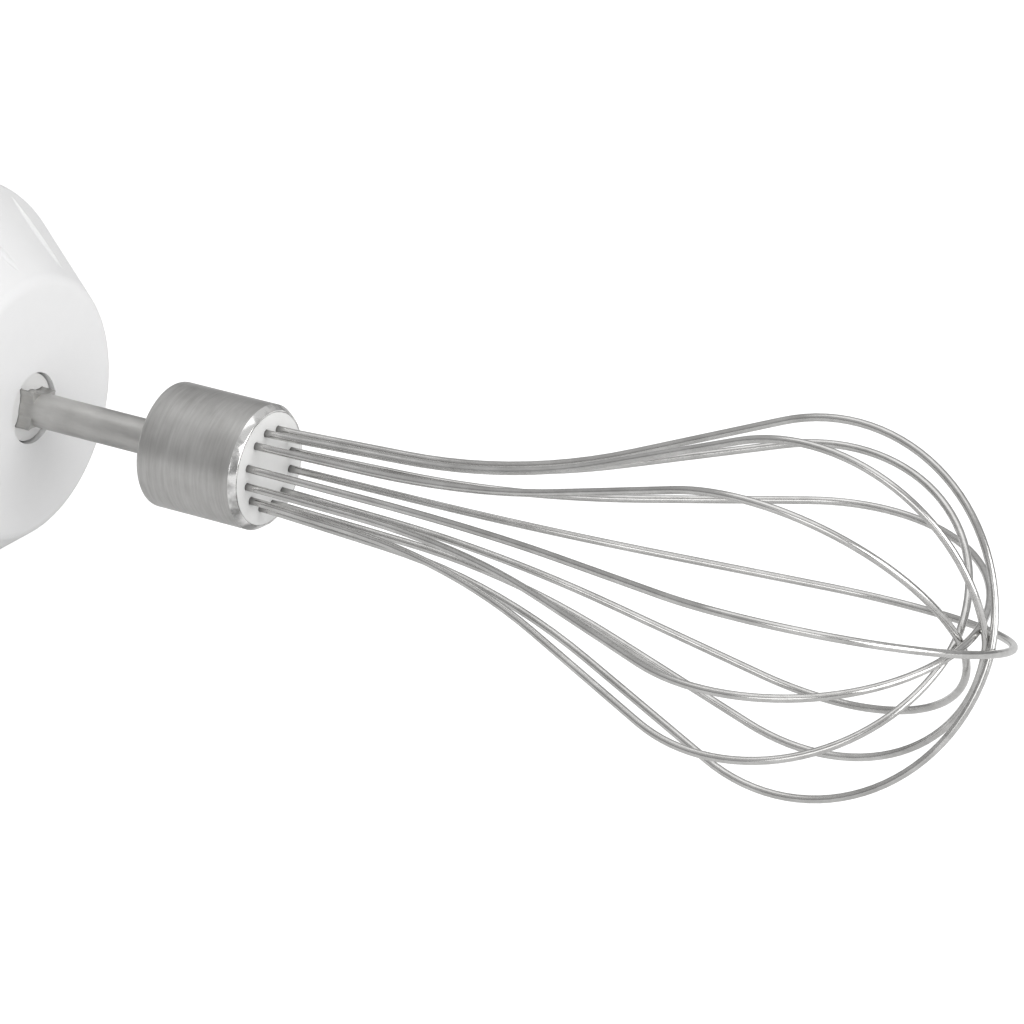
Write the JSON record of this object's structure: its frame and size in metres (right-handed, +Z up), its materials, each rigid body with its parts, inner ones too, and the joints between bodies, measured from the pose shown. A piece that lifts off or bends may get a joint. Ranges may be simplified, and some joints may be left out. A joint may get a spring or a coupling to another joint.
{
  "type": "hand mixer",
  "caption": "In-line hand mixer with a balloon whisk of bent wire loops in a steel collar, a fluted conical gear head and a round handle with slider and buttons.",
  "frame": {"origin": "middle of the handle's flat foot, on the table", "axes": "+X along the whisk axis towards the whisk's tip, +Z up, +Y to the left seen from the handle"},
  "size_m": [0.4222, 0.0672, 0.0672],
  "materials": {
    "white_housing": "satin",
    "grey_plastic": "fine texture",
    "pale_plastic": "satin",
    "button_plastic": "satin",
    "gear_plastic": "moulded",
    "brushed_collar": "brushed round",
    "steel_shaft": "drawn",
    "steel_wire": "polished",
    "motor_steel": "zinc plated",
    "magnet_ferrite": "sintered",
    "bronze": "sintered",
    "brass_parts": "stamped",
    "copper": "enamelled wire",
    "carbon": "pressed",
    "board_laminate": "solder mask",
    "switch_plastic": "moulded"
  },
  "bodies": {
    "root": {"gear_head_shell": "white_housing", "gear_head_plate": "pale_plastic", "gear_head_screws": "steel_shaft", "socket_bush": "bronze", "thrust_washer": "steel_shaft", "ring_gear": "gear_plastic", "motor_bracket": "grey_plastic", "motor_can": "motor_steel", "motor_magnets": "magnet_ferrite", "motor_end_bell": "grey_plastic", "front_bearing": "bronze", "rear_bearing": "bronze", "brush_holders": "brass_parts", "carbon_brushes": "carbon", "handle_shell_upper": "white_housing", "handle_shell_lower": "white_housing", "shell_screws": "steel_shaft", "end_cap": "white_housing", "cord_gland": "grey_plastic", "control_panel": "grey_plastic", "control_board": "board_laminate", "button_switches": "switch_plastic", "speed_sensor": "grey_plastic", "on_button_spring": "steel_shaft", "turbo_button_spring": "steel_shaft"},
    "whisk_drive": {"drive_socket": "pale_plastic", "whisk_catch": "steel_shaft", "planet_carrier": "pale_plastic", "planet_pins": "steel_shaft"},
    "whisk": {"whisk_shaft": "steel_shaft", "whisk_collar": "brushed_collar", "whisk_insert": "pale_plastic", "whisk_wire_1": "steel_wire", "whisk_wire_2": "steel_wire", "whisk_wire_3": "steel_wire", "whisk_wire_4": "steel_wire", "whisk_wire_5": "steel_wire", "whisk_wire_6": "steel_wire"},
    "planet_1": {"planet_gear_1": "gear_plastic"},
    "planet_2": {"planet_gear_2": "gear_plastic"},
    "planet_3": {"planet_gear_3": "gear_plastic"},
    "motor_rotor": {"motor_shaft": "steel_shaft", "sun_pinion": "steel_shaft", "armature_core": "motor_steel", "armature_winding": "copper", "commutator": "copper", "cooling_fan": "gear_plastic"},
    "on_button_body": {"on_button": "button_plastic"},
    "turbo_button_body": {"turbo_button": "button_plastic"},
    "speed_slider_body": {"speed_slider": "button_plastic"}
  },
  "joints": [
    {"name": "whisk_spin", "type": "hinge", "parent": "root", "child": "whisk_drive", "pos_m": [0.186, 0, 0.0336], "axis": [1, 0, 0], "continuous": true},
    {"name": "whisk_pull", "type": "slide", "parent": "whisk_drive", "child": "whisk", "axis": [1, 0, 0], "range_m": [0, 0.032]},
    {"name": "motor_spin", "type": "hinge", "parent": "root", "child": "motor_rotor", "pos_m": [0.116, 0, 0.0336], "axis": [1, 0, 0], "continuous": true},
    {"name": "planet_1_spin", "type": "hinge", "parent": "whisk_drive", "child": "planet_1", "pos_m": [0.166, 0, 0.0468], "axis": [1, 0, 0], "continuous": true},
    {"name": "planet_2_spin", "type": "hinge", "parent": "whisk_drive", "child": "planet_2", "pos_m": [0.166, -0.01143, 0.027], "axis": [1, 0, 0], "continuous": true},
    {"name": "planet_3_spin", "type": "hinge", "parent": "whisk_drive", "child": "planet_3", "pos_m": [0.166, 0.01143, 0.027], "axis": [1, 0, 0], "continuous": true},
    {"name": "on_press", "type": "slide", "parent": "root", "child": "on_button_body", "axis": [0, 0, -1], "range_m": [0, 0.0018], "stiffness_N_per_m": 500, "springref_m": -0.0006, "deforming": ["on_button_spring"]},
    {"name": "turbo_press", "type": "slide", "parent": "root", "child": "turbo_button_body", "axis": [0, 0, -1], "range_m": [0, 0.0018], "stiffness_N_per_m": 500, "springref_m": -0.0006, "deforming": ["turbo_button_spring"]},
    {"name": "speed_slide", "type": "slide", "parent": "root", "child": "speed_slider_body", "axis": [1, 0, 0], "range_m": [-0.007, 0.007]}
  ],
  "couplings": [
    {"joint": "motor_spin", "follows": "whisk_spin", "ratio": 5.5},
    {"joint": "planet_1_spin", "follows": "whisk_spin", "ratio": -2.5714},
    {"joint": "planet_2_spin", "follows": "whisk_spin", "ratio": -2.5714},
    {"joint": "planet_3_spin", "follows": "whisk_spin", "ratio": -2.5714}
  ]
}
